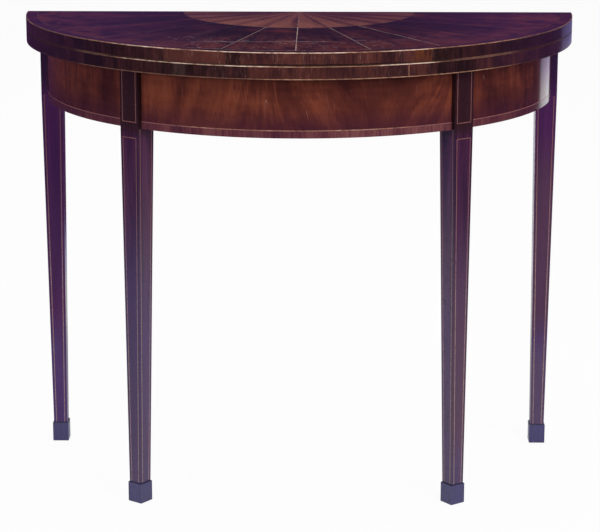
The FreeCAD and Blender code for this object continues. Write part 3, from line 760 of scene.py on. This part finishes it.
class FinishStrings(bpy.types.Operator):
    """Boxwood lines, clean where hands have rubbed them and dull elsewhere, with painted highlights along
    the leaves
    """

    bl_idname = "card_table.finish_strings"
    bl_label = "Boxwood lines"

    # Colour of the painted shade of the gap between the leaves.
    seam_tint = (0.008, 0.004, 0.004)
    grime_tint = (0.05, 0.025, 0.02)

    def line(self, name, under, middling, wear, names, dirt):
        """One run of lines, from the under colour to pale where wear, from 0 to 1, has cleaned it."""
        finish = Finish.named("boxwood_" + name)
        bearing, reach, height = finish.round_table()
        wood = Wood(finish, bearing * reach + height, reach, height * 300.0)
        patch = wood.streaks(0.06, 0.02, rough=0.6).rise(0.3, 0.62)
        glint = wood.streaks(0.01, 0.004, seed=14.0).rise(0.3, 0.66)
        grime = wood.streaks(0.007, 0.004, seed=8.0)
        clean = (wear(bearing, height) * (patch * 0.5 + glint * 0.35 + 0.15)).math("MINIMUM", 1.0)
        under, middling = "string_" + under, "string_" + middling
        finish.tint = finish.ramp(clean, (0.0, under), (0.42, middling), (0.85, "string_pale"))
        # Painted shade of the gap between the leaves, along the lower line of the upper leaf.
        seam = height.band(LEAF_JOINT + 0.0008, 0.0008, 0.0002) * bearing.between(-38, 30)
        finish.lay(seam * 0.85, self.seam_tint)
        finish.lay(grime.rise(0.48, 0.7) * dirt, self.grime_tint)
        dress(polished(finish, wood, gloss=0.3), *names)

    def edge_wear(self, bearing, height):
        """The four arrises of the leaves are clean along different parts of the front; these pale
        stretches are partly painted highlights.
        """
        top = height.rise(TOP_Z - 0.006, TOP_Z - 0.004)
        foot = height.rise(LEAF_FOOT + 0.006, LEAF_FOOT + 0.004) * bearing.between(-4, 39)
        seam = height.rise(LEAF_JOINT + 0.0001, LEAF_JOINT - 0.0003)
        seam = seam * height.rise(LEAF_JOINT - 0.0045, LEAF_JOINT - 0.0025)
        # Painted highlight: the line at the joint is brightened left of the middle and in one stretch
        # right of it, on top of its wear.
        rubbed = bearing.between(-34, -7).math("MAXIMUM", bearing.between(18, 26))
        rubbed = rubbed.math("MAXIMUM", bearing.between(-7, 18) * 0.3)
        kept = top * 0.25 + bearing.between(-46, 46) * 0.22
        cleaned = top * bearing.between(-36, 26)
        return kept + cleaned * 0.52 + foot * 0.3 + seam * rubbed * 1.1

    def ray_wear(self, bearing, height):
        """The rays are clean at the front, and most of all in the middle."""
        middle = bearing.around(0, 6, 2)
        return bearing.between(-19, 34) * 0.55 + middle * 0.2

    def sunk_wear(self, bearing, height):
        """The two curved lines of the top show only left of the middle."""
        return bearing.between(-20, 3) * 0.45

    def apron_wear(self, bearing, height):
        """The apron's line is clean between the front legs."""
        return bearing.between(-22, 22) * 0.55

    def leg_wear(self, bearing, height):
        """The legs' lines are cleaner towards the floor."""
        return height.rise(0.55, 0.25) * 0.45

    def execute(self, context):
        edges = ("upper_leaf_edge_strings", "lower_leaf_edge_strings")
        sunk = ("upper_leaf_inner_string", "patera_string")
        legs = [name for name in SLOTS["boxwood"] if "_leg_" in name]
        self.line("edges", "worn", "gold", self.edge_wear, edges, dirt=0.55)
        self.line("rays", "dark", "grey", self.ray_wear, ["radial_strings"], dirt=0.55)
        self.line("sunk", "dark", "grey", self.sunk_wear, sunk, dirt=0.55)
        self.line("apron", "leg", "amber", self.apron_wear, ["apron_strings"], dirt=0.35)
        self.line("legs", "leg", "grey", self.leg_wear, legs, dirt=0.12)
        return {"FINISHED"}


class FinishLeaves(bpy.types.Operator):
    """Solid wood of the leaves, and the border round each playing face"""

    bl_idname = "card_table.finish_leaves"
    bl_label = "Leaves and playing borders"

    def execute(self, context):
        finish = Finish.named("mahogany_leaf")
        x, y, height = finish.place()
        wood = Wood(finish, x, y + height * 0.7, 2.0)
        stripe = wood.streaks(0.5, 0.016, detail=4.0, rough=0.6, warp=0.2)
        fine = wood.streaks(0.12, 0.002, seed=3.0)
        figure = stripe * 0.7 + fine * 0.3
        finish.tint = finish.ramp(figure, (0.34, "apron_dark"), (0.5, "leaf_body"), (0.68, "apron_light"))
        dress(polished(finish, wood, gloss=0.45), *SLOTS["mahogany_leaf"])

        finish = Finish.named("mahogany_border")
        bearing, reach, _ = finish.round_table()
        arc = bearing * LEAF_RADIUS
        wood = Wood(finish, reach, arc, 6.0)
        streak = wood.streaks(0.14, 0.006, detail=4.0, rough=0.62, warp=0.2)
        tone = finish.chance((arc / 0.16).floor() + 0.5)
        figure = streak * 0.8 + tone * 0.2
        finish.tint = finish.ramp(figure, (0.34, "apron_dark"), (0.5, "border_body"), (0.7, "apron_light"))
        dress(polished(finish, wood, gloss=0.24), *SLOTS["mahogany_border"])
        return {"FINISHED"}


class FinishCarcase(bpy.types.Operator):
    """Unpolished woods behind the veneers: pine courses, oak back rail, beech gates"""

    bl_idname = "card_table.finish_carcase"
    bl_label = "Carcase woods"

    grime_tint = (0.035, 0.022, 0.013)
    saw_pitch = 0.0032

    def execute(self, context):
        for slot_name, ring_width in (("pine", 0.007), ("oak", 0.005), ("beech", 0.009)):
            body = mixed(slot_name + "_body")
            finish = Finish.named(slot_name)
            x, y, height = finish.place()
            wander = finish.noise(x / 0.2, y / 0.2, height / 0.1) * 0.03
            wood = Wood(finish, x, height + y * 0.6 + wander, 1.0)
            rings = wood.streaks(0.35, ring_width, detail=3.0, rough=0.6, warp=0.2)
            fine = wood.streaks(0.05, 0.0012, seed=5.0)
            grime = finish.noise(x / 0.08, y / 0.08, height / 0.05, 4.0, 0.6)
            figure = (rings * 0.7 + fine * 0.3).rise(0.35, 0.68)
            finish.tint = finish.mix(figure, body, [part * 0.42 for part in body])
            finish.lay(grime.rise(0.45, 0.75) * 0.6, self.grime_tint)
            saw = (x * 0.25 + height) / self.saw_pitch
            ridges = abs(saw.fraction() - 0.5) * 0.6 + fine * 0.8
            material = finish.surface(
                Base_Color=finish.tint,
                Roughness=0.72 + (rings - 0.5) * 0.2,
                Normal=finish.bump(ridges, 0.00025, 0.7),
                Specular_IOR_Level=0.25,
            )
            dress(material, *SLOTS[slot_name])
        return {"FINISHED"}


class FinishMetal(bpy.types.Operator):
    """Aged brass of the hinges and dark iron of the screws and pins"""

    bl_idname = "card_table.finish_metal"
    bl_label = "Hinges and screws"

    def execute(self, context):
        for slot_name, tarnish, bright in (
            ("brass", (0.09, 0.06, 0.025), 0.34),
            ("iron", (0.05, 0.025, 0.014), 0.5),
        ):
            finish = Finish.named(slot_name)
            x, y, height = finish.place()
            cloud = finish.noise(x / 0.009, y / 0.009, height / 0.009, 4.0, 0.6)
            brushed = finish.noise(x / 0.02, y / 0.0006, height / 0.0006, 1.0)
            dull = cloud.rise(0.42, 0.7)
            material = finish.surface(
                Base_Color=finish.mix(dull * 0.75, slot_name + "_body", tarnish),
                Metallic=1.0 - dull * 0.35,
                Roughness=bright + dull * 0.25 + (brushed - 0.5) * 0.2,
                Normal=finish.bump(brushed + cloud * 0.5, 0.00005, 0.5),
            )
            dress(material, *SLOTS[slot_name])
        return {"FINISHED"}


def baize_finish():
    """Napped wool cloth, rubbed and faded in places."""
    finish = Finish.named("baize")
    x, y, height = finish.place()
    nap = sizes().nap
    tufts = finish.noise(x / nap, y / nap, height / nap, 3.0, 0.7)
    threads = finish.noise(x / (nap * 9), y / (nap * 1.1), 4.0)
    worn = finish.noise(x / 0.13, y / 0.1, 7.0, 4.0, 0.6)
    finish.tint = finish.mix(worn.rise(0.42, 0.72) * 0.7, "baize_body", "baize_faded")
    finish.lay(tufts.rise(0.4, 0.7) * 0.45, [part * 0.45 for part in mixed("baize_body")])
    return finish.surface(
        Base_Color=finish.tint,
        Roughness=0.94 - worn * 0.08,
        Normal=finish.bump(tufts * 0.7 + threads * 0.3, 0.0004, 0.8),
        Specular_IOR_Level=0.15,
        Sheen_Weight=0.35,
        Sheen_Roughness=0.5,
        Sheen_Tint=(0.55, 0.75, 0.55, 1),
    )


class LayBaize(bpy.types.Operator):
    """Half-round cloths glued to the playing faces of the two leaves"""

    bl_idname = "card_table.lay_baize"
    bl_label = "Cloths"

    steps = 72
    rings = 14
    clearance = 0.0003

    def cloth(self, name, node, facing):
        """A half disc where the node is, its face towards facing, 1 up or -1 down."""
        low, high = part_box(node)
        radius = high.x - self.clearance
        face = (high.z if facing > 0 else low.z) - facing * self.clearance / 6
        shape = bmesh.new()
        middle = Vector((0, high.y, face))
        reaches = [radius * step / self.rings for step in range(1, self.rings + 1)]
        spoke = [shape.verts.new(middle + Vector((reach, 0, 0))) for reach in reaches]
        hub = shape.verts.new(middle)
        edges = [shape.edges.new(pair) for pair in zip([hub, *spoke], spoke)]
        bmesh.ops.spin(
            shape,
            geom=[hub, *spoke, *edges],
            cent=middle,
            axis=(0, 0, 1),
            angle=-math.pi,
            steps=self.steps,
            use_merge=False,
        )
        bmesh.ops.remove_doubles(shape, verts=shape.verts[:], dist=1e-6)
        bmesh.ops.dissolve_degenerate(shape, dist=1e-7, edges=shape.edges[:])
        bmesh.ops.recalc_face_normals(shape, faces=shape.faces[:])
        if shape.faces[:][0].normal.z * facing < 0:
            bmesh.ops.reverse_faces(shape, faces=shape.faces[:])
        piece = stand_shape(name, shape)
        body = piece.modifiers.new("Cloth body", "SOLIDIFY")
        body.thickness = (high.z - low.z) - self.clearance
        body.offset = -1
        return piece, radius

    def execute(self, context):
        material = baize_finish()
        for name, node, facing, body, carrier in (
            ("lower_cloth", "lower_baize", 1, "frame", "lower_leaf_core"),
            ("upper_cloth", "upper_baize", -1, "upper_leaf", "upper_leaf_core"),
        ):
            piece, radius = self.cloth(name, node, facing)
            piece.data.materials.append(material)
            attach(piece, body)
            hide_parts(node)
        return {"FINISHED"}


class SetStage(bpy.types.Operator):
    """Pale floor, soft lamps, plain surroundings and the camera"""

    bl_idname = "card_table.set_stage"
    bl_label = "Studio"

    whiteness = 0.94
    # Colours by height: of the walls from level to overhead, then of the paper in metres.
    wall_stops = ((0.0, (0.22, 0.22, 0.23)), (0.25, (0.26, 0.26, 0.27)), (1.0, (0.6, 0.6, 0.6)))
    left_stops = ((0.0, (0.8, 0.84, 1.1)), (0.15, (0.3, 0.32, 0.7)), (0.4, (0.03, 0.02, 0.07)))
    right_stops = ((0.0, (0.9, 0.8, 0.95)), (0.15, (0.42, 0.3, 0.5)), (0.4, (0.03, 0.02, 0.05)))
    panel_stops = ((0.45, (1.3, 1.3, 1.35)), (0.5, (0.8, 0.74, 1.05)), (0.57, (0.2, 0.17, 0.4)))
    # Colours of the paper from behind the table, 0, to in front of it, 1.
    dark_stops = (
        (0.04, (0.012, 0.008, 0.012)),
        (0.1, (0.045, 0.02, 0.09)),
        (0.55, (0.03, 0.015, 0.07)),
        (0.7, (0.012, 0.008, 0.014)),
    )
    dusk_tint = (0.07, 0.02, 0.105)
    brown_tint = (0.035, 0.012, 0.024)

    def floor(self):
        """A pale floor that shows white, keeps the shadow and can be looked through from below."""
        shape = bmesh.new()
        bmesh.ops.create_grid(shape, x_segments=1, y_segments=1, size=studio().floor_size / 2)
        floor = stand_shape("floor", shape)
        finish = Finish.named("pale_floor")
        seen = finish.node("ShaderNodeLightPath", output="Is Camera Ray")
        path = seen.socket.node.outputs
        shown = seen.math("MAXIMUM", Signal(finish, path["Is Glossy Ray"]))
        shown = shown.math("MAXIMUM", Signal(finish, path["Is Transmission Ray"]))
        lit = finish.node("ShaderNodeBsdfDiffuse", {"Color": studio().floor_colour})
        white = finish.node("ShaderNodeEmission", {"Color": (1, 1, 1), "Strength": 1.0})
        face = finish.node("ShaderNodeMixShader", {0: shown * self.whiteness, 1: lit, 2: white})
        under = finish.node("ShaderNodeNewGeometry", output="Backfacing") * seen
        clear = finish.node("ShaderNodeBsdfTransparent")
        ground = finish.node("ShaderNodeMixShader", {0: under, 1: face, 2: clear})
        finish.node("ShaderNodeOutputMaterial", {"Surface": ground})
        floor.data.materials.append(finish.holder)

    def surroundings(self):
        """Plain walls that pale towards the ceiling."""
        world = bpy.data.worlds.new("studio")
        bpy.context.scene.world = world
        finish = Finish(world)
        way = finish.node("ShaderNodeTexCoord", output="Generated")
        level = finish.node("ShaderNodeSeparateXYZ", {"Vector": way}, output="Z")
        glow = finish.ramp(level, *self.wall_stops)
        light = finish.node("ShaderNodeBackground", {"Color": glow, "Strength": 1.0})
        finish.node("ShaderNodeOutputWorld", {"Surface": light})

    def paper(self):
        """Paper rolled round the table, which only the polish mirrors: dark in front, lilac behind."""
        settings = studio()
        shape = bmesh.new()
        bmesh.ops.create_cone(
            shape,
            segments=96,
            radius1=settings.roll_radius,
            radius2=settings.roll_radius,
            depth=settings.roll_height,
            matrix=Matrix.Translation((0, 0, settings.roll_height / 2)),
        )
        paper = stand_shape("paper", shape)
        finish = Finish.named("studio_paper")
        x, y, height = finish.place()
        bearing = x.math("ARCTAN2", y)
        dark = finish.ramp(abs(bearing) / math.pi, *self.dark_stops)
        dusk = height.rise(0.955, 0.9) * abs(bearing).rise(math.radians(70), math.radians(40))
        dark = finish.mix(dusk, dark, self.dusk_tint)
        dark = finish.mix(height.band(0.52, 0.12, 0.03) * 0.5, dark, self.brown_tint)
        left = finish.ramp(height, *self.left_stops)
        right = finish.ramp(height, *self.right_stops)
        haze = finish.mix(bearing.rise(-0.2, 0.2), left, right)
        beside = abs(bearing).around(84, 26, 12)
        low = height.rise(0.16, 0.02)
        finish.tint = finish.mix(beside.math("MAXIMUM", low) * height.rise(0.42, 0.36), dark, haze)
        panel = bearing.around(33, 16, 0.5)
        white = panel * height.rise(0.75, 0.7)
        behind = bearing.around(12.5, 3.5, 1)
        white = white.math("MAXIMUM", behind * height.rise(0.62, 0.55))
        finish.lay(white, finish.ramp(height, *self.panel_stops))
        glow = finish.node("ShaderNodeEmission", {"Color": finish.tint, "Strength": 1.0})
        finish.node("ShaderNodeOutputMaterial", {"Surface": glow})
        paper.data.materials.append(finish.holder)
        for ray in ("camera", "diffuse", "shadow", "transmission"):
            setattr(paper, "visible_" + ray, False)

    def lamp(self, name, place, aim, power, wide, tall, tint=(1, 1, 1)):
        """A soft rectangular lamp that the camera doesn't see."""
        data = bpy.data.lights.new(name, "AREA")
        data.shape = "RECTANGLE"
        data.size, data.size_y = wide, tall
        data.energy = power
        data.color = tint
        lamp = stand(name, data)
        lamp.location = place
        lamp.rotation_euler = (Vector(aim) - Vector(place)).to_track_quat("-Z", "Y").to_euler()
        lamp.visible_camera = False

    def camera(self):
        """The camera at the photograph's angle."""
        settings = studio()
        yaw, pitch, roll = settings.camera_yaw, settings.camera_pitch, settings.camera_roll
        turn = Matrix.Rotation(-yaw, 4, "Z") @ Matrix.Rotation(math.pi / 2 - pitch, 4, "X")
        turn = turn @ Matrix.Rotation(roll, 4, "Z")
        data = bpy.data.cameras.new("camera")
        data.lens = settings.lens
        data.sensor_width = 36
        data.clip_end = 200
        camera = stand("camera", data)
        camera.matrix_world = Matrix.Translation(settings.camera_place) @ turn
        bpy.context.scene.camera = camera

    def execute(self, context):
        context.scene.view_settings.view_transform = "Standard"
        settings = studio()
        self.floor()
        self.surroundings()
        self.paper()
        middle = (0, 0, 0.45)
        self.lamp("key", (1.9, -2.5, 2.3), middle, settings.key_power, 1.6, 1.6, (1, 0.97, 0.95))
        self.lamp("fill", (-2.6, -2.6, 1.5), middle, settings.fill_power, 1.8, 1.8, (0.92, 0.94, 1))
        self.lamp("top", (0, -0.2, 3.4), middle, settings.top_power, 2.4, 2.4)
        self.lamp("back", (-0.8, 2.6, 3.4), middle, settings.back_power, 2.0, 1.6)
        self.camera()
        return {"FINISHED"}


OPERATORS = (
    FinishTop,
    FinishFan,
    FinishEdges,
    FinishApron,
    FinishLegs,
    FinishStrings,
    FinishLeaves,
    FinishCarcase,
    FinishMetal,
    LayBaize,
    SetStage,
)


class CardTablePanel(bpy.types.Panel):
    """Lists the pieces and the studio"""

    bl_idname = "VIEW3D_PT_card_table"
    bl_label = "Card table"
    bl_space_type = "VIEW_3D"
    bl_region_type = "UI"
    bl_category = "Card table"

    def draw(self, context):
        for operator in OPERATORS:
            self.layout.operator(operator.bl_idname)
        for group in (sizes(), colours(), studio()):
            box = self.layout.box()
            for name in group.__annotations__:
                box.prop(group, name)


GROUPS = {
    "card_table_sizes": PatternSizes,
    "card_table_colours": FinishColours,
    "card_table_studio": StudioSettings,
}


def register():
    """Adds the settings, the operators and the panel to Blender."""
    for name, group in GROUPS.items():
        bpy.utils.register_class(group)
        setattr(bpy.types.Scene, name, PointerProperty(type=group))
    for entry in (*OPERATORS, CardTablePanel):
        bpy.utils.register_class(entry)


def unregister():
    """Takes them out again."""
    for entry in reversed((*OPERATORS, CardTablePanel)):
        bpy.utils.unregister_class(entry)
    for name, group in GROUPS.items():
        delattr(bpy.types.Scene, name)
        bpy.utils.unregister_class(group)


def main():
    """Runs every operator in order."""
    register()
    for operator in OPERATORS:
        group, name = operator.bl_idname.split(".")
        getattr(getattr(bpy.ops, group), name)()


if __name__ == "__main__":
    main()
